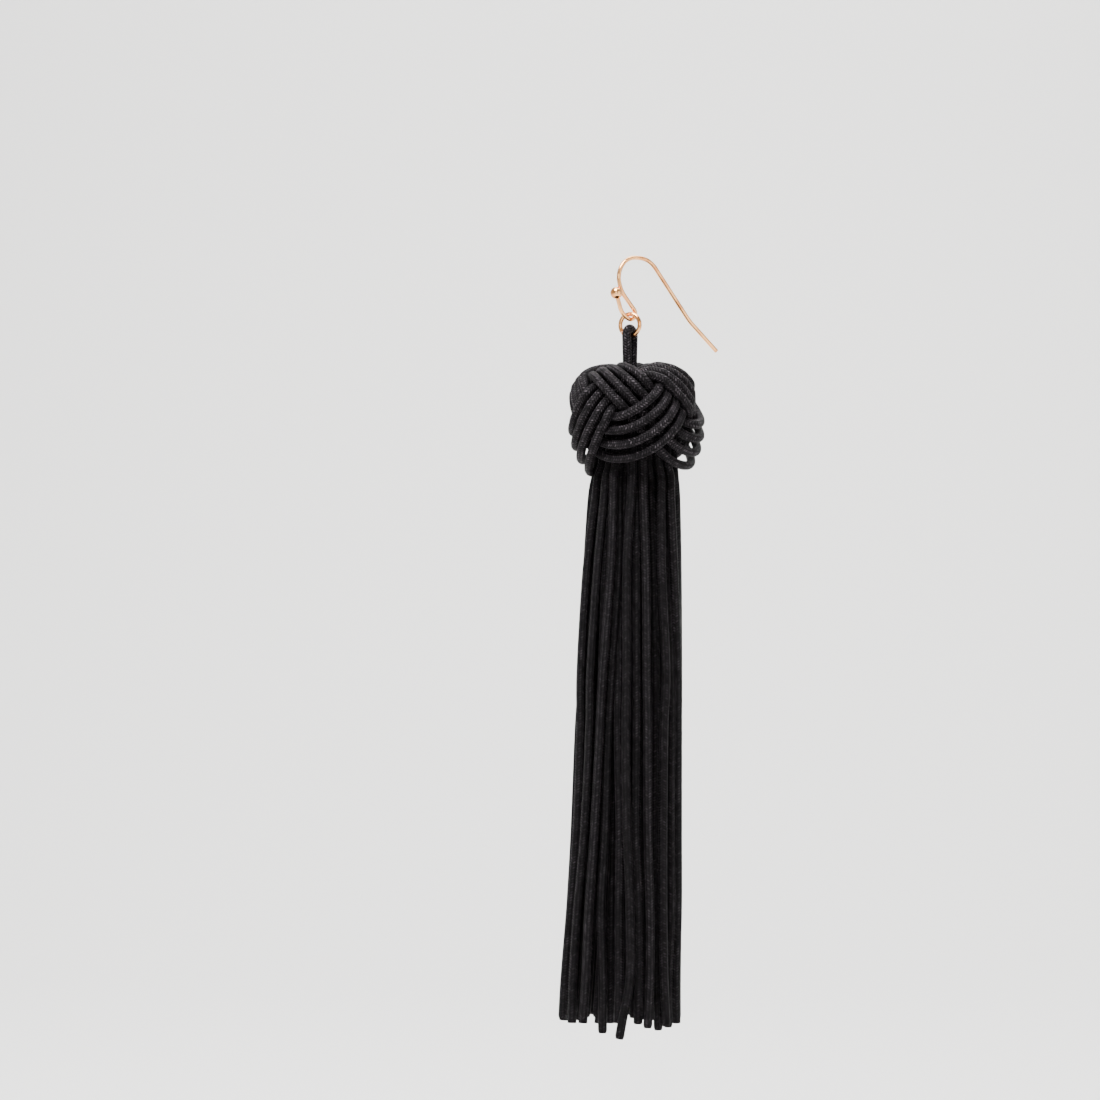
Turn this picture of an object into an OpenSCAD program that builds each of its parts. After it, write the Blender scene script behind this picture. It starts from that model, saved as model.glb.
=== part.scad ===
/* [Ear wire] */
// Thickness of the ear wire
wire_d = 0.7; // [0.6:0.05:0.8]
// Bend radius of the arch in front of the ear
front_r = 3.45; // [3:0.05:4.5]
// Bend radius of the lower front, where the wire turns back to the ear
chin_r = 5; // [4.5:0.1:7]
// Straight run down to the eye
stem_len = 2.8; // [1.8:0.1:5]
// Bend radius of the eye that the jump ring hangs in
eye_r = 1; // [0.95:0.05:1.3]
// Bend radius of the lip that comes back up to the stem
lip_r = 3.1; // [2.8:0.1:3.4]
// Straight end of the lip, up to the ball
lip_len = 2.4; // [2:0.1:2.8]
// Ball on the end of the lip
ball_d = 2; // [1.9:0.1:2.6]
// Straight run through the piercing, at the top of the arch
crown_len = 0.8; // [0.4:0.1:2]
// Bend radius of the arch behind the piercing
back_r = 4.4; // [3.5:0.1:7]
// Straight run of the tail behind the ear
tail_len = 10.2; // [8:0.1:16]
// Bend radius of the tail's outward flare
flare_r = 10; // [8:0.5:20]
// Straight end of the tail
tip_len = 6.7; // [3:0.1:8]
// How far the ear wire is turned from facing the front, in degrees
hook_turn = 35; // [25:1:45]

/* [Jump ring] */
// Outside width of the jump ring
ring_d = 4.35; // [4.1:0.05:5]
// Thickness of the jump ring's wire
ring_wire_d = 0.7; // [0.6:0.05:0.75]
// Width of the cut where the ring was closed
ring_cut = 0.2; // [0.1:0.02:0.3]
// How far the jump ring is turned from facing the front, in degrees
ring_turn = -30; // [-35:1:-25]

/* [Cord] */
// Thickness of the braided cord
cord_d = 1.5; // [1.3:0.05:1.55]

/* [Knot] */
// Width of the knot over its cords
knot_w = 22.6; // [21.5:0.1:25]
// Height of the knot's upper half, over its cords
knot_up = 9; // [8.6:0.1:9.8]
// Height that the knot's lower half would have if it closed, over its cords
knot_down = 12.2; // [11:0.1:13]
// From the jump ring's wire down to the middle of the knot
knot_drop = 13.05; // [13:0.05:14]
// How far the knot sits to one side of the line that it hangs on
knot_side = 0.8; // [0:0.1:1.2]
// How far the knot leans, in degrees
knot_lean = 4; // [0:0.5:6]
// Spacing of the side by side cords at the top of the knot
top_pitch = 1.6; // [1.5:0.05:1.65]
// Spacing of the side by side cords at the bottom of the knot
rim_pitch = 2.4; // [2.1:0.05:2.5]
// How much further down the knot's rim goes at its sides than at its front, in degrees round the knot
rim_dip = 8; // [0:1:10]
// How unevenly the knot is tied: 0 is even, 1 as its table of strays says
knot_stray = 1; // [0:0.1:1]

/* [Tassel] */
// Thickness of the tassel's cords
strand_d = 1.5; // [1.3:0.05:1.6]
// Length of the tassel, from the top of its hidden head to the longest tip
tassel_len = 107.5; // [70:0.5:140]
// Width of the tassel over its cords at the tips
tassel_w = 20.2; // [18:0.1:22]
// From the middle of the knot up to the top of the tassel's head
head_up = 5; // [4:0.1:5.2]
// How much shorter the shortest cord is than the longest
tip_uneven = 5; // [0:0.1:10]
// How far a cord waves to either side on its way down
strand_wave = 0.3; // [0:0.05:0.35]

/* [Hidden] */
$fn = 48;

gold = "goldenrod";
black = "dimgray";

// Running gap between the metal links, gap beside a cord of the loop, and gap between pieces that lie together
link_gap = 0.2;
cord_gap = 0.1;
seat_gap = 0.25;

// Ear wire, as runs from the top of the arch: length of a straight run, or degrees and radius of a bend,
// where degrees are plus for a bend to the left
front_runs = [
    [0, 98, front_r],
    [0, 34, chin_r],
    [stem_len, 0, 0],
    [0, -154, eye_r],
    [0, -50, lip_r],
    [lip_len, 0, 0]
];
back_runs = [
    [crown_len, 0, 0],
    [0, -50, back_r],
    [tail_len, 0, 0],
    [0, 10, flare_r],
    [tip_len, 0, 0]
];
EYE_RUN = 3;
// Every second run is a hair thinner and laps into its neighbours
run_lap = 0.04;
run_hair = 0.01;

function bend_centre(p, run) =
    let (s = sign(run[1]))
    [p[0] - s * run[2] * sin(p[2]), p[1] + s * run[2] * cos(p[2])];
function run_end(p, run) =
    let (c = bend_centre(p, run), h = p[2] + run[1], s = sign(run[1]))
    run[1] == 0
        ? [p[0] + run[0] * cos(h), p[1] + run[0] * sin(h), h]
        : [c[0] + s * run[2] * sin(h), c[1] - s * run[2] * cos(h), h];
function run_starts(runs, p, i = 0) =
    i == len(runs) ? [p] : concat([p], run_starts(runs, run_end(p, runs[i]), i + 1));

front_starts = run_starts(front_runs, [0, 0, 180]);
back_starts = run_starts(back_runs, [0, 0, 0]);

// Lowest point of the eye's wire, in the plane of the ear wire
eye_low = bend_centre(front_starts[EYE_RUN], front_runs[EYE_RUN]) - [0, eye_r];
// The line that everything below the ear wire hangs on, a little towards the lip where the eye is wider
EYE_SIDE = 0.1;
hang_x = (eye_low[0] - EYE_SIDE) * cos(hook_turn);
hang_y = (eye_low[0] - EYE_SIDE) * sin(hook_turn);

// Jump ring, hung on the eye
ring_r = (ring_d - ring_wire_d) / 2;
ring_top_z = eye_low[1] + (wire_d + ring_wire_d) / 2 + link_gap;
ring_z = ring_top_z - ring_r;
ring_low_z = ring_z - ring_r;
ring_cut_angle = 360 * ring_cut / (2 * PI * ring_r);
// Where the cut is, from the ring's right side
CUT_AT = 219;

// Hanging loop, a cord bent over the lowest wire of the jump ring, whose two legs meet just over the tassel's head
loop_r = (ring_wire_d + cord_d) / 2 + cord_gap;
loop_len = knot_drop - head_up - seat_gap;
loop_lean = atan((loop_r - cord_d / 2) / loop_len);
leg_len = (loop_len - loop_r * sin(loop_lean)) / cos(loop_lean);

// Knot: one cord goes round four times beside itself, over and under, with three turns to four bights
PASSES = 4;
BIGHTS = 4;
TURNS = 3;
RINGS_A_BIGHT = 20;
SIDES = 6;
// Reach of the over and under from the middle surface
knot_lift = 0.68;
// Middle surface that the cords cross: half width, upper and lower half heights
knot_r = knot_w / 2 - cord_d / 2 - knot_lift;
up_r = knot_up - cord_d / 2 - knot_lift;
down_r = knot_down - cord_d / 2 - knot_lift;
// How square the knot's side view is, from 0 for round
SQUARE = 0.05;
// Hole that the loop's legs go through, where they enter the knot
hole_r = loop_r - (knot_drop - knot_up) * tan(loop_lean) + cord_d / 2 + cord_gap;
// Middle of a bight, in degrees down from the top of the surface: round the hole at the top, and at the rim
top_at = down_where(hole_r + cord_d / 2 + (PASSES - 1) / 2 * top_pitch);
RIM_AT = 114;
// How much the bights are flattened, how much faster the cord goes round near the top,
// and how soon it rises to go over another or dips to go under
FLAT = 0.06;
HURRY = 6;
SOON = 1.6;
// Small step for directions, in degrees
STEP = 0.1;
// Where the hand-tied knot strays from an even one: place along the cord in half bights and how far from there that
// is felt, degrees further round and further down, half bights that the change from over to under comes later, and
// mm further out
strays = [
    [0.38, 0.36, -29, 14, 0.06, -0.5],
    [2.45, 0.3, -5, 13, -0.05, -0.2],
    [3.05, 0.25, -8, 2, 0, 0.6],
    [3.45, 0.25, 10, 4, 0, 0.3],
    [5.5, 0.15, 1, 6, -0.12, 0],
    [7.05, 0.2, 0, 2, 0, 0.4],
    [7.3, 0.3, 8, 1, 0, 0],
    [7.55, 0.2, 4, 9, 0, 0]
];
// Where the first top bight is, in degrees from the front to the right
FIRST_BIGHT = 27;
knot_z = ring_low_z - knot_drop;

function knot_skin(down, round) =
    let (r = knot_r * (sin(down) + SQUARE * sin(3 * down)) / (1 - SQUARE),
         half = (up_r + down_r) / 2 - (down_r - up_r) / 2 * cos(down),
         z = half * (cos(down) - SQUARE * cos(3 * down)) / (1 - SQUARE))
    [r * sin(round), -r * cos(round), z];
// What a column of the strays adds up to at a place along the cord, where whole is the whole way in half bights
function wrapped(q, whole) = q - whole * round(q / whole);
function strayed(p, column) =
    knot_stray * sum([for (row = strays) row[column] * exp(-pow(wrapped(p / 180 - row[0], 2 * BIGHTS) / row[1], 2))]);
function sum(v, i = 0) = i == len(v) ? 0 : v[i] + sum(v, i + 1);
function even_round(p) = FIRST_BIGHT + TURNS / BIGHTS * p + HURRY * sin(p);
function weave_down(p) =
    let (low = RIM_AT - rim_dip / 2 * cos(2 * even_round(p)))
    (top_at + low) / 2 - (low - top_at) / 2 * (cos(p) - FLAT * cos(3 * p)) / (1 - FLAT) + strayed(p, 3);
function weave_round(p) = even_round(p) + strayed(p, 2);
function unit(v) = v / norm(v);
// Degrees down from the top at which the middle surface has a given radius, by halving
function down_where(r, low = 0, high = 80, tries = 20) =
    let (half = (low + high) / 2)
    tries == 0 ? half
    : knot_skin(half, 90)[0] < r ? down_where(r, half, high, tries - 1)
    : down_where(r, low, half, tries - 1);

// Outward direction of the middle surface, by small steps along it
function outward(down, round) =
    unit(cross(knot_skin(down + STEP, round) - knot_skin(down - STEP, round),
               knot_skin(down, round + STEP) - knot_skin(down, round - STEP)));
function weave_middle(p) = knot_skin(weave_down(p), weave_round(p));
function weave_out(p) = outward(weave_down(p), weave_round(p));
// Centre of one pass of the cord, side steps from the middle of the band
function weave_point(p, side) =
    let (out = weave_out(p),
         ahead = unit(weave_middle(p + STEP) - weave_middle(p - STEP)),
         step = side * (top_pitch + (rim_pitch - top_pitch) * (1 - cos(p)) / 2),
         over = knot_lift * tanh(SOON * sin(2 * p - 360 * strayed(p, 4))) / tanh(SOON) + strayed(p, 5))
    weave_middle(p) + cross(ahead, out) * step + out * (over - step * step / (2 * knot_r));
function tanh(x) = 1 - 2 / (exp(2 * x) + 1);

// Tassel below the knot: share of its length from the rim to the tips, radius of the outer cords as a share
// of the way from neck to tip width, and how far the cords drift to the side as a share of the tip width
strand_sections = [
    [0, 0, 0.016],
    [0.03, 0.2, 0.014],
    [0.07, 0.4, 0.006],
    [0.13, 0.52, -0.018],
    [0.24, 0.58, -0.03],
    [0.38, 0.64, -0.034],
    [0.52, 0.69, -0.046],
    [0.66, 0.76, -0.067],
    [0.79, 0.89, -0.093],
    [0.91, 0.95, -0.121],
    [1, 1, -0.131]
];
// Rings of cords in the bundle: how many, their radius as a share of the outer cords', and cords in the rings before
bundle = [[20, 1, 0], [12, 0.66, 20], [4, 0.27, 32]];
CORDS = 36;
SEED = 7;
tips = rands(0, 1, CORDS, SEED);
phases = rands(0, 360, 2 * CORDS, SEED + 1);
// Waves of a cord on its way down, to the side and to the front, in degrees, and the share where they are full
WAVE_SIDE = 500;
WAVE_FRONT = 430;
WAVE_FULL = 0.12;
head_z = knot_z + head_up;
// Turning points of the outermost pass, which are the rim of the knot
rim_points = [for (turn = [0 : BIGHTS - 1]) weave_point(180 + 360 * turn, (PASSES - 1) / 2)];
rim_r = min([for (q = rim_points) norm([q[0], q[1]])]);
rim_z = -min([for (q = rim_points) q[2]]) + cord_d / 2;
// The bundle's neck fills the rim of the knot, which the knot's lean moves to the side
neck_r = rim_r - cord_d / 2 - strand_d / 2 - seat_gap - rim_z * sin(knot_lean) / 2;
neck_len = head_up + rim_z;
tip_r = tassel_w / 2 - strand_d / 2;
// Tapered core that joins the cords in the head: height, foot and top as shares of the neck, and how far it stands out
CORE_H = 4.6;
CORE_FOOT = 1.1;
CORE_TOP = 0.6;
CORE_OUT = 1.5;

function strand_point(s, ring, i) =
    let (sec = strand_sections[s],
         k = bundle[ring][2] + i,
         r = (neck_r + (tip_r - neck_r) * sec[1]) * bundle[ring][1],
         a = 360 * (i + ring / 2) / bundle[ring][0],
         wave = strand_wave * min(1, sec[0] / WAVE_FULL))
    [knot_side + sec[2] * tassel_w + r * cos(a) + wave * sin(phases[k] + WAVE_SIDE * sec[0]),
     r * sin(a) + wave * sin(phases[k + CORDS] + WAVE_FRONT * sec[0]),
     -neck_len - sec[0] * (tassel_len - neck_len - tip_uneven * tips[k])];
// Upper end of a cord, straight up from the rim into the head
function strand_top(ring, i) =
    let (q = strand_point(0, ring, i))
    [q[0] - strand_sections[0][2] * tassel_w, q[1], -CORE_OUT];

// A ring of points round a point of a cord, square to the cord's way
function cord_ring(at, way, d, sides, ref) =
    let (u = unit(cross(way, ref)), v = cross(unit(way), u))
    [for (j = [0 : sides - 1]) at + d / 2 * (cos(360 * j / sides) * u + sin(360 * j / sides) * v)];

module points_hull(points) {
    hull() polyhedron(points, [for (j = [0 : len(points) - 3]) [j, j + 1, j + 2]]);
}

// A cord through points, one hull a stretch, with neighbours sharing their ring
module cord(points, d, refs, closed = false) {
    n = len(points);
    rings = [
        for (i = [0 : n - 1])
            let (before = closed ? points[(i + n - 1) % n] : points[max(0, i - 1)],
                 after = closed ? points[(i + 1) % n] : points[min(n - 1, i + 1)])
            cord_ring(points[i], after - before, d, SIDES, refs[i])
    ];
    for (i = [0 : closed ? n - 1 : n - 2]) points_hull(concat(rings[i], rings[(i + 1) % n]));
}

module wire_bend(angle, r, d, lap) {
    s = sign(angle);
    more = lap * 180 / (PI * r);
    translate([0, s * r, 0])
        rotate((s > 0 ? -90 : 90 - abs(angle)) - more)
            rotate_extrude(angle = abs(angle) + 2 * more) translate([r, 0]) circle(d = d);
}

// first is 0 where the run at the top of the arch is of full thickness, 1 where it is a thin one
module wire_runs(runs, starts, first) {
    for (i = [0 : len(runs) - 1]) {
        thin = (i + first) % 2;
        d = wire_d - thin * run_hair;
        lap = thin * run_lap;
        translate([starts[i][0], starts[i][1], 0]) rotate(starts[i][2])
            if (runs[i][1] == 0) translate([-lap, 0, 0]) rotate([0, 90, 0]) cylinder(d = d, h = runs[i][0] + 2 * lap);
            else wire_bend(runs[i][1], runs[i][2], d, lap);
    }
}

module ear_hook() {
    ball_at = front_starts[len(front_runs)];
    color(gold)
        rotate([0, 0, hook_turn]) rotate([90, 0, 0]) {
            wire_runs(front_runs, front_starts, 0);
            wire_runs(back_runs, back_starts, 1);
            translate([ball_at[0], ball_at[1], 0]) sphere(d = ball_d);
        }
}

module jump_ring() {
    color(gold)
        translate([hang_x, hang_y, ring_z]) rotate([0, 0, ring_turn]) rotate([90, 0, 0])
            rotate(CUT_AT + ring_cut_angle / 2)
                rotate_extrude(angle = 360 - ring_cut_angle) translate([ring_r, 0]) circle(d = ring_wire_d);
}

module loop_leg() {
    rotate(-loop_lean) translate([loop_r, run_lap, 0]) rotate([90, 0, 0])
        cylinder(d = cord_d - run_hair, h = leg_len + run_lap);
}

module hanging_loop() {
    color(black)
        translate([hang_x, hang_y, ring_low_z]) rotate([0, 0, ring_turn + 90]) rotate([90, 0, 0]) {
            rotate(-loop_lean)
                rotate_extrude(angle = 180 + 2 * loop_lean) translate([loop_r, 0]) circle(d = cord_d);
            loop_leg();
            mirror([1, 0, 0]) loop_leg();
        }
}

module knot() {
    ways = [for (i = [0 : BIGHTS * RINGS_A_BIGHT - 1]) 360 * i / RINGS_A_BIGHT];
    outs = [for (p = ways) weave_out(p)];
    color(black)
        translate([hang_x + knot_side, hang_y, knot_z]) rotate([0, -knot_lean, 0])
            for (pass = [0 : PASSES - 1])
                cord([for (p = ways) weave_point(p, pass - (PASSES - 1) / 2)], cord_d, outs, true);
}

module tassel() {
    last = len(strand_sections) - 1;
    refs = [for (s = [0 : last + 1]) [1, 0, 0]];
    color(black)
        translate([hang_x, hang_y, head_z]) {
            for (ring = [0 : len(bundle) - 1], i = [0 : bundle[ring][0] - 1])
                cord(concat([strand_top(ring, i)], [for (s = [0 : last]) strand_point(s, ring, i)]), strand_d, refs);
            translate([knot_side, 0, -CORE_H])
                cylinder(r1 = CORE_FOOT * neck_r, r2 = CORE_TOP * neck_r, h = CORE_H, $fn = 24);
        }
}

ear_hook();
jump_ring();
hanging_loop();
knot();
tassel();
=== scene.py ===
import math
import random
import bpy
import numpy as np
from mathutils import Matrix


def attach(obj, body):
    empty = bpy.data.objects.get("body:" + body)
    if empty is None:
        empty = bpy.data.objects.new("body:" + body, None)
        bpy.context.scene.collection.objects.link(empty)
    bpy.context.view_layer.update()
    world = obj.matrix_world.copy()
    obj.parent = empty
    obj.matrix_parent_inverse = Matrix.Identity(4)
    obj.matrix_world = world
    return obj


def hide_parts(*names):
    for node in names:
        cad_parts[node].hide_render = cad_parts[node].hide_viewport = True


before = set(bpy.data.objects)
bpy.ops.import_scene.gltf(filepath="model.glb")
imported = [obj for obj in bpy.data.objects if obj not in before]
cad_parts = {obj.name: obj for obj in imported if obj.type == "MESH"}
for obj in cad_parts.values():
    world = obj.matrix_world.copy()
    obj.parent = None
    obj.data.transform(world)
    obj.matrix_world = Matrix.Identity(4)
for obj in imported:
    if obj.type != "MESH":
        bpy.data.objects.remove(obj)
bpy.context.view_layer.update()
mm = 0.001

# the photograph's frame: 6 pixels to a millimetre, the ear wire's arch at (635.5, 257.7)
photo = {"scale": 6.0, "archX": 635.5, "archY": 257.7, "wide": 1100, "lens": 100, "sensor": 36, "nearest": 0.01}
photo["midX"] = (photo["wide"] / 2 - photo["archX"]) / photo["scale"]
photo["midZ"] = (photo["archY"] - photo["wide"] / 2) / photo["scale"]
photo["away"] = photo["wide"] / photo["scale"] * photo["lens"] / photo["sensor"]


def fromPhoto(px, py, depth):
    # x and z in mm of a place in the picture that lies at a depth y behind the arch
    k = (photo["away"] + depth) / photo["away"] / photo["scale"]
    return photo["midX"] + (px - photo["wide"] / 2) * k, photo["midZ"] - (py - photo["wide"] / 2) * k


bpy.ops.object.camera_add(location=(photo["midX"] * mm, -photo["away"] * mm, photo["midZ"] * mm),
                          rotation=(math.pi / 2, 0, 0))
camera = bpy.context.object
camera.name = "photoCamera"
camera.data.lens = photo["lens"]
camera.data.sensor_width = photo["sensor"]
camera.data.clip_start = photo["nearest"]
bpy.context.scene.camera = camera
print("camera set")


def newGroup(name, inputs, outputs):
    group = bpy.data.node_groups.new(name, "ShaderNodeTree")
    for label, value in inputs:
        kind = "NodeSocketVector" if isinstance(value, tuple) else "NodeSocketFloat"
        socket = group.interface.new_socket(name=label, in_out="INPUT", socket_type=kind)
        socket.default_value = value
    for label, kind in outputs:
        group.interface.new_socket(name=label, in_out="OUTPUT", socket_type=kind)
    return group, group.nodes.new("NodeGroupInput"), group.nodes.new("NodeGroupOutput")


def feed(tree, socket, value):
    # a node's output goes in by a link, a number as the socket's own value
    if isinstance(value, (int, float, tuple)):
        socket.default_value = value
    else:
        tree.links.new(value, socket)


def maths(tree, operation, a, b=0.0, c=None):
    node = tree.nodes.new("ShaderNodeMath")
    node.operation = operation
    feed(tree, node.inputs[0], a)
    feed(tree, node.inputs[1], b)
    if c is not None:
        feed(tree, node.inputs[2], c)
    return node.outputs[0]


def mixed(tree, share, a, b):
    # a where share is 0, b where it is 1
    return maths(tree, "MULTIPLY_ADD", share, maths(tree, "SUBTRACT", b, a), a)


def braidGroup():
    # two families of yarns wind round the cord both ways, each over two and under two of the others
    group, into, out = newGroup("braidRelief", [("Coordinates", (0.0, 0.0, 0.0)), ("Yarns", 8.0)],
                                [("Height", "NodeSocketFloat"), ("Tint", "NodeSocketFloat")])
    over = 2.0      # crossings where a yarn lies on top, before as many where it lies beneath
    crown = 0.6     # how round a yarn is across, a sine's half at 1 and flatter below
    seam = 4.0      # eight yarns make so many repeats once round the cord
    family = 10.0   # sets the numbers of the two families apart
    split = group.nodes.new("ShaderNodeSeparateXYZ")
    group.links.new(into.outputs["Coordinates"], split.inputs[0])
    around = maths(group, "MULTIPLY", split.outputs[0], into.outputs["Yarns"])
    left = maths(group, "ADD", around, split.outputs[1])
    right = maths(group, "SUBTRACT", around, split.outputs[1])
    leftNumber, leftPart = maths(group, "FLOOR", left), maths(group, "FRACT", left)
    rightNumber, rightPart = maths(group, "FLOOR", right), maths(group, "FRACT", right)
    crossing = maths(group, "ADD", leftNumber, rightNumber)
    turn = maths(group, "FLOORED_MODULO", crossing, 2 * over)
    rightOver = maths(group, "GREATER_THAN", turn, over - 0.5)
    across = mixed(group, rightOver, leftPart, rightPart)
    lengthwise = mixed(group, rightOver, rightPart, leftPart)
    cell = maths(group, "SUBTRACT", turn, maths(group, "MULTIPLY", rightOver, over))
    run = maths(group, "MULTIPLY", maths(group, "ADD", cell, lengthwise), 1 / over)
    hump = maths(group, "POWER", maths(group, "SINE", maths(group, "MULTIPLY", across, math.pi)), crown)
    rise = maths(group, "SINE", maths(group, "MULTIPLY", run, math.pi))
    height = maths(group, "MULTIPLY", hump, maths(group, "MULTIPLY_ADD", rise, 0.5, 0.5))
    group.links.new(height, out.inputs["Height"])
    # each stretch of yarn that lies on top has a number of its own, the same on both sides of the seam
    repeat = maths(group, "FLOOR", maths(group, "MULTIPLY", crossing, 1 / (2 * over)))
    step = maths(group, "MULTIPLY_ADD", rightOver, family, maths(group, "FLOORED_MODULO", repeat, seam))
    apart = maths(group, "SUBTRACT", leftNumber, rightNumber)
    number = maths(group, "ADD", mixed(group, rightOver, apart, maths(group, "MULTIPLY", apart, -1.0)), cell)
    place = group.nodes.new("ShaderNodeCombineXYZ")
    group.links.new(number, place.inputs[0])
    group.links.new(step, place.inputs[1])
    noise = group.nodes.new("ShaderNodeTexWhiteNoise")
    group.links.new(place.outputs[0], noise.inputs["Vector"])
    group.links.new(noise.outputs["Value"], out.inputs["Tint"])
    return group


def rampOf(tree, share, stops):
    ramp = tree.nodes.new("ShaderNodeValToRGB")
    for i, (place, colour) in enumerate(stops):
        stop = ramp.color_ramp.elements[i] if i < 2 else ramp.color_ramp.elements.new(place)
        stop.position = place
        stop.color = (*colour, 1)
    tree.links.new(share, ramp.inputs[0])
    return ramp.outputs[0]


def noiseOf(tree, coords, scale, detail):
    noise = tree.nodes.new("ShaderNodeTexNoise")
    noise.inputs["Scale"].default_value = scale
    noise.inputs["Detail"].default_value = detail
    tree.links.new(coords.outputs["Object"], noise.inputs["Vector"])
    return noise.outputs[0]


def bumpOf(tree, height, strength, distance, shader):
    bump = tree.nodes.new("ShaderNodeBump")
    bump.inputs["Strength"].default_value = strength
    bump.inputs["Distance"].default_value = distance
    tree.links.new(height, bump.inputs["Height"])
    tree.links.new(bump.outputs[0], shader.inputs["Normal"])


# black cord: colours from painted shade in the gaps between its yarns up to painted highlight and glint on
# their crowns, the place of each on the ramp, and what the yarn, the patch and the cord (a tone at random, with
# painted shade on the tassel) add to the tone; a float of yarn is one pitch long, in mm
cordLook = {
    # the gap colour is painted shade, the last two colours painted highlight and glint on the crowns of the
    # yarns
    "gap": (0.0006, 0.0005, 0.0006), "yarn": (0.0068, 0.0059, 0.0067), "lit": (0.022, 0.0192, 0.0215),
    "toneAndPaintedLight": (0.066, 0.0575, 0.064), "stops": (0.1, 0.5, 0.8, 1.0),
    "yarns": 8, "pitch": 0.45, "relief": 0.00014, "roughness": 0.4, "roughSpread": 0.25, "specular": 0.04,
    "patchScale": 420, "patchDetail": 4, "fibreScale": 9000, "fibreDetail": 2, "fibreRelief": 0.25,
    "byYarn": 0.45, "byPatch": 0.3, "byCord": 0.3, "leastTone": 0.15, "startUpTo": 40,
}


def cordMaterial(braid):
    look = cordLook
    mat = bpy.data.materials.new("braidedCord")
    mat.use_nodes = True
    tree = mat.node_tree
    shader = tree.nodes["Principled BSDF"]
    uv = tree.nodes.new("ShaderNodeUVMap")
    uv.uv_map = "UVMap"
    weave = tree.nodes.new("ShaderNodeGroup")
    weave.node_tree = braid
    tree.links.new(uv.outputs[0], weave.inputs["Coordinates"])
    weave.inputs["Yarns"].default_value = look["yarns"]
    coords = tree.nodes.new("ShaderNodeTexCoord")
    patches = noiseOf(tree, coords, look["patchScale"], look["patchDetail"])
    fibres = noiseOf(tree, coords, look["fibreScale"], look["fibreDetail"])
    # each cord's tone: at random, and lower on the whole tassel as painted shade
    own = tree.nodes.new("ShaderNodeAttribute")
    own.attribute_name = "cordToneAndShade"
    tone = maths(tree, "MULTIPLY", patches, look["byPatch"])
    tone = maths(tree, "MULTIPLY_ADD", weave.outputs["Tint"], look["byYarn"], tone)
    tone = maths(tree, "MULTIPLY_ADD", own.outputs["Fac"], look["byCord"], tone)
    # painted shade and highlight: the weave's height darkens the colour in the gaps between the yarns and
    # lightens it on their crowns, up to glints on yarns with a high tone
    shade = maths(tree, "MULTIPLY", weave.outputs["Height"], maths(tree, "ADD", tone, look["leastTone"]))
    colours = [look[part] for part in ("gap", "yarn", "lit", "toneAndPaintedLight")]
    tree.links.new(rampOf(tree, shade, list(zip(look["stops"], colours))), shader.inputs["Base Color"])
    rough = maths(tree, "MULTIPLY_ADD", fibres, look["roughSpread"], look["roughness"])
    tree.links.new(rough, shader.inputs["Roughness"])
    relief = maths(tree, "MULTIPLY_ADD", fibres, look["fibreRelief"], weave.outputs["Height"])
    bumpOf(tree, relief, 1.0, look["relief"], shader)
    shader.inputs["Specular IOR Level"].default_value = look["specular"]
    return mat


# rose gold: its colour and the deeper colour of its cloudy patches, the patches and the fine scratches
goldLook = {
    "colour": (0.92, 0.46, 0.18), "deep": (0.66, 0.27, 0.09), "stops": (0.35, 0.55),
    "roughness": 0.12, "roughSpread": 0.12, "cloudScale": 350, "cloudDetail": 3,
    "scratchScale": 6000, "scratchDetail": 2, "scratchStrength": 0.2, "scratchDepth": 0.00001,
}


def goldMaterial():
    look = goldLook
    mat = bpy.data.materials.new("polishedGold")
    mat.use_nodes = True
    tree = mat.node_tree
    shader = tree.nodes["Principled BSDF"]
    coords = tree.nodes.new("ShaderNodeTexCoord")
    cloud = noiseOf(tree, coords, look["cloudScale"], look["cloudDetail"])
    scratch = noiseOf(tree, coords, look["scratchScale"], look["scratchDetail"])
    stops = list(zip(look["stops"], (look["deep"], look["colour"])))
    tree.links.new(rampOf(tree, cloud, stops), shader.inputs["Base Color"])
    rough = maths(tree, "MULTIPLY_ADD", scratch, look["roughSpread"], look["roughness"])
    tree.links.new(rough, shader.inputs["Roughness"])
    shader.inputs["Metallic"].default_value = 1.0
    bumpOf(tree, scratch, look["scratchStrength"], look["scratchDepth"], shader)
    return mat


gold = goldMaterial()
cordBlack = cordMaterial(braidGroup())
print("materials made")


def finish(obj, name, material, body, node):
    obj.name = name
    obj.data.name = name
    obj.data.materials.clear()
    obj.data.materials.append(material)
    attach(obj, body)
    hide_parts(node)
    return obj


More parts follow.
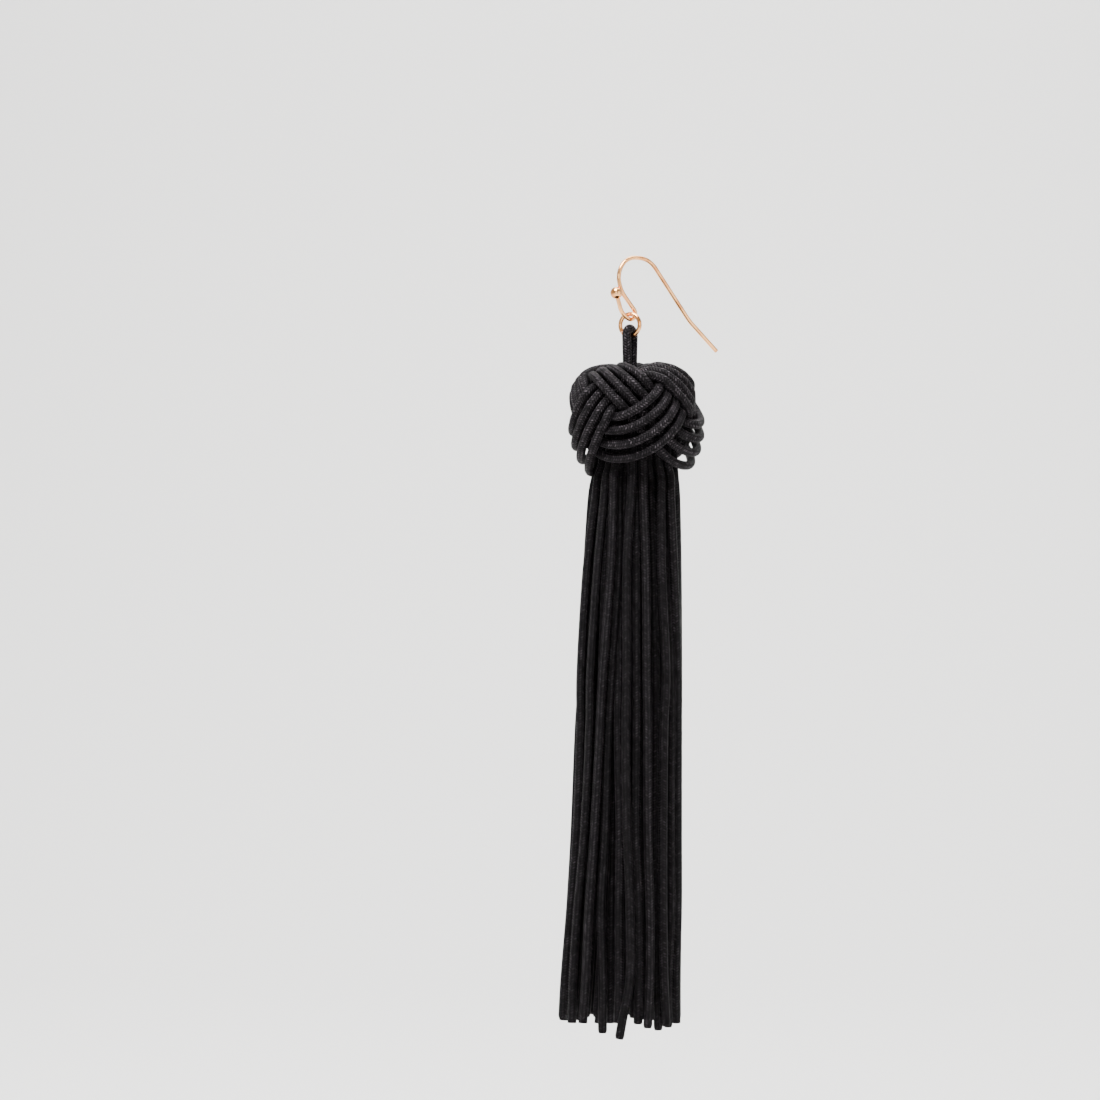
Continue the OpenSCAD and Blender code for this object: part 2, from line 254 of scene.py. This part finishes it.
def cordMesh(name, cords, sides, toneAndPaintedLight):
    # one mesh of tubes; a cord is its points in mm, its radius at each, and whether it closes on itself;
    # the tone range says between what tones the cords lie, 0 for the darkest, each cord's tone at random and a
    # whole piece set lower for painted shade; and each cord's weave starts anywhere
    verts, faces, uvs, tones = [], [], [], []
    aside = (0.3, 0.9, 0.2)     # any direction that no cord starts in
    rng = random.Random(len(cords))
    for points, radius, closed in cords:
        n = len(points)
        ahead = np.roll(points, -1, 0) - np.roll(points, 1, 0)
        if not closed:
            ahead[0], ahead[-1] = points[1] - points[0], points[-1] - points[-2]
        ahead /= np.linalg.norm(ahead, axis=1)[:, None]
        # a side direction carried along the cord, with what is left over at a closed cord's join spread out
        side = np.cross(ahead[0], aside)
        sideways = []
        for a in ahead:
            side = side - a * side.dot(a)
            side = side / np.linalg.norm(side)
            sideways.append(side)
        sideways = np.array(sideways)
        extra = 0.0
        if closed:
            last = sideways[-1] - ahead[0] * sideways[-1].dot(ahead[0])
            extra = math.atan2(np.cross(last, sideways[0]).dot(ahead[0]), last.dot(sideways[0]))
        other = np.cross(ahead, sideways)
        steps = np.linalg.norm(np.diff(np.vstack([points, points[:1]]), axis=0), axis=1)
        along = np.concatenate([[0], np.cumsum(steps)]) / cordLook["pitch"]
        if closed:
            along *= round(along[-1]) / along[-1]
        along += rng.uniform(0, cordLook["startUpTo"])
        about = rng.random()
        tones += [rng.uniform(*toneAndPaintedLight)] * (n * sides)
        base = len(verts)
        for i in range(n):
            turn = extra * i / n
            for j in range(sides):
                a = 2 * math.pi * j / sides + turn
                out = math.cos(a) * sideways[i] + math.sin(a) * other[i]
                verts.append((points[i] + radius[i] * out) * mm)
        for i in range(n if closed else n - 1):
            here, there = base + i * sides, base + (i + 1) % n * sides
            for j in range(sides):
                m = (j + 1) % sides
                faces.append((here + j, here + m, there + m, there + j))
                u0, u1 = about + j / sides, about + (j + 1) / sides
                uvs += [(u0, along[i]), (u1, along[i]), (u1, along[i + 1]), (u0, along[i + 1])]
        if not closed:
            for end, order in ((0, range(sides - 1, -1, -1)), (n - 1, range(sides))):
                faces.append(tuple(base + end * sides + j for j in order))
                uvs += [(0.0, along[end])] * sides
    mesh = bpy.data.meshes.new(name)
    mesh.from_pydata([tuple(v) for v in verts], [], faces)
    layer = mesh.uv_layers.new(name="UVMap")
    layer.data.foreach_set("uv", np.array(uvs, np.float32).ravel())
    mesh.attributes.new("cordToneAndShade", "FLOAT", "POINT").data.foreach_set("value", np.array(tones, np.float32))
    mesh.shade_smooth()
    obj = bpy.data.objects.new(name, mesh)
    bpy.context.scene.collection.objects.link(obj)
    return obj


def evenly(points, step, closed=False):
    # the same way with points a fixed step apart, on a smooth curve through the old ones
    parts = 8
    p = np.asarray(points, float)
    if closed:
        p = np.vstack([p[-2:], p, p[:3]])
    else:
        p = np.vstack([2 * p[0] - p[1], p, 2 * p[-1] - p[-2]])
    t = np.linspace(0, 1, parts + 1)[:-1, None]
    fine = []
    for i in range(1, len(p) - 2):
        a, b, c, d = p[i - 1:i + 3]
        squares, cubes = 2 * a - 5 * b + 4 * c - d, 3 * b - a - 3 * c + d
        fine.append(0.5 * (2 * b + (c - a) * t + squares * t ** 2 + cubes * t ** 3))
    fine = np.vstack(fine)
    if closed:
        fine = fine[parts:-parts]
        fine = np.vstack([fine, fine[:1]])
    else:
        fine = np.vstack([fine, p[-2:-1]])
    far = np.concatenate([[0], np.cumsum(np.linalg.norm(np.diff(fine, axis=0), axis=1))])
    count = max(3, int(round(far[-1] / step)))
    at = np.linspace(0, far[-1], count + 1)
    even = np.stack([np.interp(at, far, fine[:, k]) for k in range(3)], 1)
    return even[:-1] if closed else even


def selectNone():
    if bpy.context.object and bpy.context.object.mode != "OBJECT":
        bpy.ops.object.mode_set(mode="OBJECT")
    bpy.ops.object.select_all(action="DESELECT")


def bentWire(start, heading, runs, wire, sides, stepDeg):
    # a wire in the XZ plane, spun round its bends and drawn out along its straight runs; a run is a length, or
    # an angle and the radius of its bend
    x, z, h = start[0], start[1], heading
    selectNone()
    bpy.ops.mesh.primitive_circle_add(vertices=sides, radius=wire / 2 * mm, fill_type="NOTHING",
                                      location=(x * mm, 0, z * mm), rotation=(0, math.radians(90 - h), 0))
    obj = bpy.context.object
    bpy.ops.object.transform_apply(location=True, rotation=True, scale=True)
    bpy.ops.object.mode_set(mode="EDIT")
    bpy.ops.mesh.select_all(action="SELECT")
    bpy.ops.mesh.edge_face_add()
    for length, angle, radius in runs:
        a = math.radians(h)
        if angle == 0:
            x, z = x + length * math.cos(a), z + length * math.sin(a)
            bpy.ops.mesh.extrude_region_move(
                TRANSFORM_OT_translate={"value": (length * math.cos(a) * mm, 0, length * math.sin(a) * mm)})
        else:
            s = 1 if angle > 0 else -1
            cx, cz = x - s * radius * math.sin(a), z + s * radius * math.cos(a)
            bpy.ops.mesh.spin(steps=max(3, int(abs(angle) / stepDeg)), angle=math.radians(angle),
                              center=(cx * mm, 0, cz * mm), axis=(0, 1, 0))
            h += angle
            a = math.radians(h)
            x, z = cx + s * radius * math.sin(a), cz - s * radius * math.cos(a)
    bpy.ops.mesh.select_all(action="SELECT")
    bpy.ops.mesh.remove_doubles(threshold=0.002 * mm)
    bpy.ops.mesh.normals_make_consistent(inside=False)
    bpy.ops.object.mode_set(mode="OBJECT")
    return obj, (x, z)


# the ear wire, from the tip of its tail round the arch to the ball
earWire = {
    "wire": 0.7, "turn": 35, "ball": 2.0, "sides": 20, "stepDeg": 4, "ballAround": 32, "ballDown": 20,
    "sharp": 40,    # degrees between faces past which an edge stays sharp
    "runs": [(6.7, 0, 0), (0, -10, 10), (10.2, 0, 0), (0, 50, 4.4), (0.8, 0, 0), (0, 98, 3.45), (0, 34, 5),
             (2.8, 0, 0), (0, -154, 1), (0, -50, 3.1), (2.4, 0, 0)],
    "runsToArch": 5,    # the arch's top, where the origin is, lies after so many runs
}


def wireStart(runs, upTo):
    # goes back from the arch to find where the tail's tip is
    x, z, h = 0.0, 0.0, 180.0
    for length, angle, radius in reversed(runs[:upTo]):
        a = math.radians(h)
        if angle == 0:
            x, z = x - length * math.cos(a), z - length * math.sin(a)
        else:
            s = 1 if angle > 0 else -1
            cx, cz = x - s * radius * math.sin(a), z + s * radius * math.cos(a)
            h -= angle
            a = math.radians(h)
            x, z = cx + s * radius * math.sin(a), cz - s * radius * math.cos(a)
    return (x, z), h


def makeEarWire():
    w = earWire
    start, heading = wireStart(w["runs"], w["runsToArch"])
    wire, ballAt = bentWire(start, heading, w["runs"], w["wire"], w["sides"], w["stepDeg"])
    bpy.ops.mesh.primitive_uv_sphere_add(segments=w["ballAround"], ring_count=w["ballDown"],
                                         radius=w["ball"] / 2 * mm,
                                         location=(ballAt[0] * mm, 0, ballAt[1] * mm))
    ball = bpy.context.object
    bpy.ops.object.transform_apply(location=True, rotation=True, scale=True)
    selectNone()
    wire.select_set(True)
    ball.select_set(True)
    bpy.context.view_layer.objects.active = wire
    bpy.ops.object.join()
    wire.rotation_euler = (0, 0, math.radians(w["turn"]))
    bpy.ops.object.transform_apply(location=True, rotation=True, scale=True)
    bpy.ops.object.shade_smooth_by_angle(angle=math.radians(w["sharp"]))
    return finish(wire, "earWire", gold, "ear_wire", "ear_hook")


makeEarWire()
print("ear wire made")


# the line everything hangs on, and the jump ring in the ear wire's eye
hang = {"x": -0.942342, "y": -0.659835}
jumpRing = {"wire": 0.7, "radius": 1.825, "z": -11.2549, "turn": -30, "cutAt": 219, "cut": 0.2, "sides": 16,
            "stepDeg": 6, "sharp": 40}


def makeJumpRing():
    r = jumpRing
    cutDeg = math.degrees(r["cut"] / r["radius"])
    begin = r["cutAt"] + cutDeg / 2
    a = math.radians(begin)
    start = (r["radius"] * math.cos(a), r["radius"] * math.sin(a))
    ring, _ = bentWire(start, begin + 90, [(0, 360 - cutDeg, r["radius"])], r["wire"], r["sides"], r["stepDeg"])
    ring.rotation_euler = (0, 0, math.radians(r["turn"]))
    ring.location = (hang["x"] * mm, hang["y"] * mm, r["z"] * mm)
    selectNone()
    ring.select_set(True)
    bpy.context.view_layer.objects.active = ring
    bpy.ops.object.transform_apply(location=True, rotation=True, scale=True)
    bpy.ops.object.shade_smooth_by_angle(angle=math.radians(r["sharp"]))
    return finish(ring, "jumpRing", gold, "ring", "jump_ring")


makeJumpRing()
print("jump ring made")


# the hanging loop is a cord bent over the ring
loop = {"cord": 1.5, "top": -13.0799, "radius": 1.2, "length": 7.8, "turn": -30,
        "legPoints": 12, "bendPoints": 16, "step": 0.3, "sides": 16, "toneAndPaintedLight": (1.0, 1.1)}


def makeHangingLoop():
    # one leg up, the bend over the ring and the other leg down; the legs lean in until they touch
    r = loop["radius"]
    lean = math.atan((r - loop["cord"] / 2) / loop["length"])
    leg = (loop["length"] - r * math.sin(lean)) / math.cos(lean)
    way = []
    for s in np.linspace(leg, 0, loop["legPoints"])[:-1]:
        way.append((-r * math.cos(lean) + s * math.sin(lean), -r * math.sin(lean) - s * math.cos(lean)))
    for a in np.linspace(180 + math.degrees(lean), -math.degrees(lean), loop["bendPoints"]):
        way.append((r * math.cos(math.radians(a)), r * math.sin(math.radians(a))))
    for s in np.linspace(0, leg, loop["legPoints"])[1:]:
        way.append((r * math.cos(lean) - s * math.sin(lean), -r * math.sin(lean) - s * math.cos(lean)))
    t = math.radians(loop["turn"] + 90)
    points = [(hang["x"] + u * math.cos(t), hang["y"] + u * math.sin(t), loop["top"] + z) for u, z in way]
    points = evenly(points, loop["step"])
    cords = [(points, np.full(len(points), loop["cord"] / 2), False)]
    obj = cordMesh("hangingLoop", cords, loop["sides"], loop["toneAndPaintedLight"])
    return finish(obj, "hangingLoop", cordBlack, "drop", "hanging_loop")


makeHangingLoop()
print("hanging loop made")


# the knot is one cord that goes round four times beside itself
knot = {
    "wide": 22.6, "up": 9.0, "down": 12.2, "side": 0.8, "lean": 4, "z": -26.1299, "cord": 1.5,
    "lift": 0.72, "soon": 1.6,      # how far the cord goes over and under, and how soon it changes
    "skin": 0.68, "square": 0.05,   # how deep the surface between over and under lies, and how square it is
    "topPitch": 1.6, "rimPitch": 2.4,   # from pass to pass, at the top and at the rim
    "topAt": 25.41, "rimAt": 114, "rimDip": 8,  # degrees down from the top where the passes turn back
    "flat": 0.06, "hurry": 6, "firstBight": 27, "passes": 4, "bights": 4, "leads": 3,
    # the knot's cords take tones above the tassel's; the difference is painted shade on the tassel
    "wayPoints": 480, "looseStep": 0.6, "step": 0.35, "sides": 14, "toneAndPaintedLight": (0.75, 1.25),
    # how cords that touch are pushed apart, smoothed and held near their way
    "rounds": 60, "quickRounds": 10, "push": 0.35, "smooth": 0.25, "hold": 0.04, "neighbours": 6,
    # where the hand-tied knot strays from an even one: place along the cord in half rounds, how far
    # from there it is felt, degrees further round and down, how much later the cord goes from over to
    # under, mm further out
    "strays": (
        (0.38, 0.36, -29, 14, 0.06, -0.5), (2.45, 0.30, -5, 13, -0.05, -0.2),
        (3.05, 0.25, -8, 2, 0.0, 0.6), (3.45, 0.25, 10, 4, 0.0, 0.3),
        (5.50, 0.15, 1, 6, -0.12, 0.0), (7.05, 0.20, 0, 2, 0.0, 0.4),
        (7.30, 0.30, 8, 1, 0.0, 0.0), (7.55, 0.20, 4, 9, 0.0, 0.0),
    ),
}


def knotSkin(down, around):
    # the surface between the cord's overs and unders, a ball made a little square
    k = knot
    wide = k["wide"] / 2 - k["cord"] / 2 - k["skin"]
    up, low = k["up"] - k["cord"] / 2 - k["skin"], k["down"] - k["cord"] / 2 - k["skin"]
    r = wide * (np.sin(down) + k["square"] * np.sin(3 * down)) / (1 - k["square"])
    half = (up + low) / 2 - (low - up) / 2 * np.cos(down)
    z = half * (np.cos(down) - k["square"] * np.cos(3 * down)) / (1 - k["square"])
    return np.stack([r * np.sin(around), -r * np.cos(around), z], -1)


def knotWay(side):
    # the middle of one pass, which runs a number of pitches to the side of the knot's own line
    k = knot
    p = np.linspace(0, 2 * math.pi * k["bights"], k["wayPoints"], endpoint=False)
    halves = 2 * k["bights"]

    def strayed(p, column):
        total = np.zeros_like(p)
        for row in k["strays"]:
            off = (p / math.pi - row[0] + halves / 2) % halves - halves / 2
            total = total + row[column] * np.exp(-(off / row[1]) ** 2)
        return total

    def downAround(p):
        around = math.radians(k["firstBight"]) + k["leads"] / k["bights"] * p
        around = around + math.radians(k["hurry"]) * np.sin(p)
        low = math.radians(k["rimAt"]) - math.radians(k["rimDip"]) / 2 * np.cos(2 * around)
        top = math.radians(k["topAt"])
        down = (top + low) / 2 - (low - top) / 2 * (np.cos(p) - k["flat"] * np.cos(3 * p)) / (1 - k["flat"])
        return down + np.radians(strayed(p, 3)), around + np.radians(strayed(p, 2))

    e = 0.002   # radians to each side, for the ways across the surface and ahead
    d, a = downAround(p)
    out = np.cross(knotSkin(d + e, a) - knotSkin(d - e, a), knotSkin(d, a + e) - knotSkin(d, a - e))
    out /= np.linalg.norm(out, axis=1)[:, None]
    ahead = knotSkin(*downAround(p + e)) - knotSkin(*downAround(p - e))
    ahead /= np.linalg.norm(ahead, axis=1)[:, None]
    step = (side * (k["topPitch"] + (k["rimPitch"] - k["topPitch"]) * (1 - np.cos(p)) / 2))[:, None]
    swing = k["soon"] * np.sin(2 * (p - math.pi * strayed(p, 4)))
    over = (k["lift"] * np.tanh(swing) / math.tanh(k["soon"]) + strayed(p, 5))[:, None]
    # a pass beside the middle line lies deeper by as much as the ball falls away there
    return knotSkin(d, a) + np.cross(ahead, out) * step + out * (over - step ** 2 / k["wide"])


def settle(ways, diameter, rounds):
    # pushes cords that run into each other apart, and keeps each smooth and near its way
    k = knot
    spans = np.cumsum([0] + [len(w) for w in ways])
    p = np.vstack(ways)
    aim = p.copy()
    strand = np.concatenate([np.full(len(w), i) for i, w in enumerate(ways)])
    index = np.concatenate([np.arange(len(w)) for w in ways])
    size = np.concatenate([np.full(len(w), len(w)) for w in ways])
    gap = np.abs(index[:, None] - index[None, :])
    gap = np.minimum(gap, size[:, None] - gap)
    near = (strand[:, None] == strand[None, :]) & (gap < k["neighbours"])
    for _ in range(rounds):
        sq = (p ** 2).sum(1)
        d2 = sq[:, None] + sq[None, :] - 2 * p @ p.T
        hit = (d2 < diameter ** 2) & ~near
        i, j = np.nonzero(hit)
        away = p[i] - p[j]
        d = np.maximum(np.linalg.norm(away, axis=1), 1e-6)  # never nought
        push = away / d[:, None] * ((diameter - d) * k["push"])[:, None]
        move = np.zeros_like(p)
        np.add.at(move, i, push)
        hits = np.bincount(i, minlength=len(p))
        p += move / np.maximum(hits, 1)[:, None] ** 0.5
        for a, b in zip(spans[:-1], spans[1:]):
            q = p[a:b]
            p[a:b] = q + k["smooth"] * ((np.roll(q, 1, 0) + np.roll(q, -1, 0)) / 2 - q)
        p += k["hold"] * (aim - p)
    return [p[a:b] for a, b in zip(spans[:-1], spans[1:])]


def makeKnot():
    k = knot
    ways = []
    for n in range(k["passes"]):
        ways.append(evenly(knotWay(n - (k["passes"] - 1) / 2), k["looseStep"], closed=True))
    ways = settle(ways, k["cord"], k["rounds"])
    a = math.radians(-k["lean"])
    turn = np.array([[math.cos(a), 0, math.sin(a)], [0, 1, 0], [-math.sin(a), 0, math.cos(a)]])
    middle = np.array([hang["x"] + k["side"], hang["y"], k["z"]])
    cords = []
    for w in ways:
        w = evenly(w, k["step"], closed=True) @ turn.T + middle
        cords.append((w, np.full(len(w), k["cord"] / 2), True))
    obj = cordMesh("knotCords", cords, k["sides"], k["toneAndPaintedLight"])
    return finish(obj, "knotCords", cordBlack, "drop", "knot")


makeKnot()
print("knot made")


# the tassel's cords hang in a bundle that is drawn in under the knot
tassel = {
    # the tassel's tones lie below the knot's: painted shade, for the less light that falls on its hanging cords
    "cord": 1.5, "headZ": -21.1299, "tipRow": 1022, "seed": 7, "step": 0.45, "sides": 12, "toneAndPaintedLight": (0, 0.5),
    # the cords behind: rings from the outside in, as the ring's number, its cords and its share of the radius;
    # where the outermost begins and how far round it goes in degrees; how far cords stray in mm, and below
    # which row; how uneven their tips are in pixels
    "rings": ((0, 15, 1.0), (1, 10, 0.62), (2, 4, 0.25)), "behindFrom": -8, "behindOver": 196,
    "ringTurn": 0.4, "stray": 0.25, "strayBelow": 2, "tipSpread": 10,
    # how cords that touch are pushed apart, smoothed and held near their place, and the front ones' share
    "rounds": 80, "push": 0.3, "frontStiff": 0.7, "smooth": 0.08, "hold": 0.02, "frontHold": 0.15,
    # the two points of a cord in the head: share of its way out from the middle, and mm below the head's top;
    # how thick its ends are, and the shortest end that is drawn below the last row
    "head": ((0.55, 1.2), (0.95, 3)), "headEnd": 0.6, "tipEnd": 0.8, "shortest": 0.3,
    # the front cords are drawn in to a column at the neck, have their full depth from the fourth row on, and
    # keep within a share of the radius
    "neckX": 637, "neckIn": 0.12, "fullDepthRow": 4, "edge": 0.98,
    # rows of the picture, and there the middle of the bundle in pixels and its radius in mm
    "rows": (440, 462, 478, 500, 570, 670, 730, 830, 910, 977, 1020),
    "middle": (637.5, 637.2, 636.6, 636, 632.8, 629.5, 629, 627.2, 623.8, 621, 619.3),
    "radius": (5.8, 5.9, 6.3, 6.9, 7.7, 8.1, 8.1, 8.4, 8.95, 9.3, 9.45),
    # the cords that show in front: where they are in the picture at these rows, the row of the tip, and how
    # far behind the front of the bundle they lie in mm
    "frontRows": (478, 570, 670, 730, 830, 910, 977, 1020),
    "front": (
        ((598, 587, 581, 580.5, 577, 570.5, 565, 562.5), 1018, 0),
        ((606, 597.5, 590.8, 589.5, 584.5, 577.5, 573, 572), 1022, 0),
        ((614, 610.8, 603.3, 600, 594.5, 589, 585.8, 583), 1022, 0),
        ((632, 626.7, 626.7, 625.8, 627, 630, 630, 622.5), 1039, 0),
        ((643, 645.8, 646.7, 647.5, 648, 650, 650, 648), 1028, 0.4),
        ((661, 661.7, 666, 664, 663, 663, 664, 666), 1026, 0),
        ((669.5, 673.3, 677, 677.5, 677.5, 677.5, 675.8, 676), 1023, 0),
        ((637, 636.5, 636.7, 636.7, 636, 639, 639, 638), 1024, 1.7),
        ((620, 618, 612, 608, 605, 601, 602.5, 602.5), 1033, 1.9),
        ((626, 619, 618, 618, 620, 619, 619, 618), 1022, 2.6),
        ((665.5, 668, 671, 671, 670.5, 671, 668, 668), 1027, 1.6),
        ((651, 654, 656, 656, 655, 656, 657, 658), 1030, 2.3),
        ((629, 623, 618, 615, 612, 611, 610, 610), 1023, 5.5),
    ),
}


def frontSpots(middle):
    # where the front cords pass each row, on the bundle's front or a little behind it
    t = tassel
    spots = []
    for xs, _, back in t["front"]:
        px = np.interp(np.array(t["rows"], float), t["frontRows"], xs)
        px[0] = px[1] = xs[0] + (t["neckX"] - xs[0]) * t["neckIn"]
        line = []
        for i, row in enumerate(t["rows"]):
            r = t["radius"][i]
            depth = hang["y"] - r
            for _ in range(3):  # the place and the depth depend on each other
                x, z = fromPhoto(px[i], row, depth)
                off = max(-t["edge"] * r, min(t["edge"] * r, x - middle[i][0]))
                depth = hang["y"] - math.sqrt(r * r - off * off) + back * min(1, (i + 1) / t["fullDepthRow"])
            line.append((x, depth))
        spots.append(line)
    return spots


def backSpots(middle, rng):
    # the cords behind and inside, in rings, and the rows of their tips
    t = tassel
    levels = range(len(t["rows"]))
    spots, tips = [], []
    for ring, count, share in t["rings"]:
        for i in range(count):
            if ring == 0:
                a = math.radians(t["behindFrom"] + t["behindOver"] * i / (count - 1))
            else:
                a = math.radians(360 * (i + t["ringTurn"] * ring) / count)
            stray = [rng.uniform(-t["stray"], t["stray"]) for _ in levels]
            line = []
            for j in levels:
                r, below = share * t["radius"][j], j > t["strayBelow"]
                line.append((middle[j][0] + r * math.cos(a) + stray[j] * below,
                             hang["y"] + r * math.sin(a) + stray[-1 - j] * below))
            spots.append(line)
            tips.append(t["tipRow"] - rng.uniform(0, t["tipSpread"]))
    return spots, tips


def spreadOut(spots, fixed):
    # pushes cords apart row by row, and keeps each smooth and near its place; the front ones hardly move
    t = tassel
    aim = spots.copy()
    for _ in range(t["rounds"]):
        for j in range(len(t["rows"])):
            p = spots[:, j]
            away = p[:, None] - p[None, :]
            d = np.linalg.norm(away, axis=2) + np.eye(len(p)) * 9   # a cord is never near itself
            push = np.where(d < t["cord"], (t["cord"] - d) * t["push"], 0) / d
            spots[:, j] += (away * push[:, :, None]).sum(1) * (1 - t["frontStiff"] * fixed)
        between = (spots[:, :-2] + spots[:, 2:]) / 2
        spots[:, 1:-1] += t["smooth"] * (between - spots[:, 1:-1]) * (1 - fixed[:, :, None])
        spots += (t["hold"] + t["frontHold"] * fixed[:, :, None]) * (aim - spots)
    return spots


def makeTassel():
    t = tassel
    rows = t["rows"]
    middle = np.array([fromPhoto(c, r, hang["y"]) for c, r in zip(t["middle"], rows)])
    front = frontSpots(middle)
    back, backTips = backSpots(middle, random.Random(t["seed"]))
    tips = [tip for _, tip, _ in t["front"]] + backTips
    fixed = np.array([1.0] * len(front) + [0.0] * len(back))[:, None]
    spots = spreadOut(np.array(front + back), fixed)
    cords = []
    for n in range(len(spots)):
        way = []
        for j, row in enumerate(rows):
            way.append((spots[n, j, 0], spots[n, j, 1], fromPhoto(0, row, spots[n, j, 1])[1]))
        way = np.array(way)
        endZ = fromPhoto(0, tips[n], spots[n, -1, 1])[1]
        last = way[-1] + (way[-1] - way[-2]) * (endZ - way[-1][2]) / (way[-1][2] - way[-2][2])
        if endZ > way[-1][2]:
            way[-1] = last
        elif way[-1][2] - endZ > t["shortest"]:
            way = np.vstack([way, last])
        # up into the head, drawn in to a dome that the knot hides
        head = np.array([hang["x"] + knot["side"], hang["y"], 0])
        out = way[0] - head
        out[2] = 0
        top = np.array([head + out * share + (0, 0, t["headZ"] - below) for share, below in t["head"]])
        way = evenly(np.vstack([top, way]), t["step"])
        radius = np.full(len(way), t["cord"] / 2)
        radius[-1] *= t["tipEnd"]
        radius[0] *= t["headEnd"]
        cords.append((way, radius, False))
    for name, part in (("tasselFront", cords[:len(front)]), ("tasselBack", cords[len(front):])):
        obj = cordMesh(name, part, t["sides"], t["toneAndPaintedLight"])
        finish(obj, name, cordBlack, "drop", "tassel")


makeTassel()
print("tassel made")


# a pale paper room with rounded corners and no top, and the lights
studio = {
    "floor": -0.165, "high": 1.6, "wide": 2.4, "back": 0.6, "front": -1.3, "corner": 0.3, "cornerSteps": 16,
    "colour": (0.74, 0.735, 0.725), "roughness": 0.9, "around": (0.9, 0.915, 0.93), "glow": 0.4,
    # name, place, what it points at, size and power
    "lights": (
        ("keyLight", (-0.12, -0.24, 0.5), (0, 0, -0.05), 0.35, 15),
        ("frontLight", (-0.1, -0.9, 0.12), (0, 0, -0.05), 0.22, 1.6),
        ("fillLight", (0.5, -0.35, 0.05), (0, 0, -0.05), 0.4, 1.2),
        ("backLight", (0.1, 0.25, 0.5), (0, 0.3, -0.05), 0.5, 6),
    ),
}


def makeBackdrop():
    s = studio
    middle = s["floor"] + s["high"] / 2
    selectNone()
    bpy.ops.mesh.primitive_cube_add(size=1, location=(0, (s["back"] + s["front"]) / 2, middle))
    room = bpy.context.object
    room.name = "paperRoom"
    room.scale = (s["wide"], s["back"] - s["front"], s["high"])
    bpy.ops.object.transform_apply(location=True, rotation=True, scale=True)
    bpy.ops.object.mode_set(mode="EDIT")
    bpy.ops.mesh.select_all(action="DESELECT")
    bpy.ops.object.mode_set(mode="OBJECT")
    for face in room.data.polygons:
        face.select = face.normal.z > 0.5
    bpy.ops.object.mode_set(mode="EDIT")
    bpy.ops.mesh.delete(type="FACE")
    bpy.ops.mesh.select_mode(type="EDGE")
    bpy.ops.mesh.select_all(action="DESELECT")
    bpy.ops.object.mode_set(mode="OBJECT")
    for edge in room.data.edges:
        edge.select = any(room.data.vertices[v].co.z < middle for v in edge.vertices)
    bpy.ops.object.mode_set(mode="EDIT")
    bpy.ops.mesh.bevel(offset=s["corner"], segments=s["cornerSteps"], affect="EDGES")
    bpy.ops.mesh.select_all(action="SELECT")
    bpy.ops.mesh.normals_make_consistent(inside=True)
    bpy.ops.object.mode_set(mode="OBJECT")
    bpy.ops.object.shade_smooth()
    mat = bpy.data.materials.new("palePaper")
    mat.use_nodes = True
    paper = mat.node_tree.nodes["Principled BSDF"]
    paper.inputs["Base Color"].default_value = (*s["colour"], 1)
    paper.inputs["Roughness"].default_value = s["roughness"]
    room.data.materials.append(mat)


def makeLights():
    s = studio
    for name, place, aimAt, size, power in s["lights"]:
        bpy.ops.object.light_add(type="AREA", location=place)
        lamp = bpy.context.object
        lamp.name = name
        lamp.data.size = size
        lamp.data.energy = power
        x, y, z = np.array(aimAt) - np.array(place)
        lamp.rotation_euler = (math.atan2(math.hypot(x, y), -z), 0, math.atan2(y, x) - math.pi / 2)
    world = bpy.data.worlds.new("studioWorld")
    world.use_nodes = True
    sky = world.node_tree.nodes["Background"]
    sky.inputs["Color"].default_value = (*s["around"], 1)
    sky.inputs["Strength"].default_value = s["glow"]
    bpy.context.scene.world = world


makeBackdrop()
makeLights()
print("studio made")
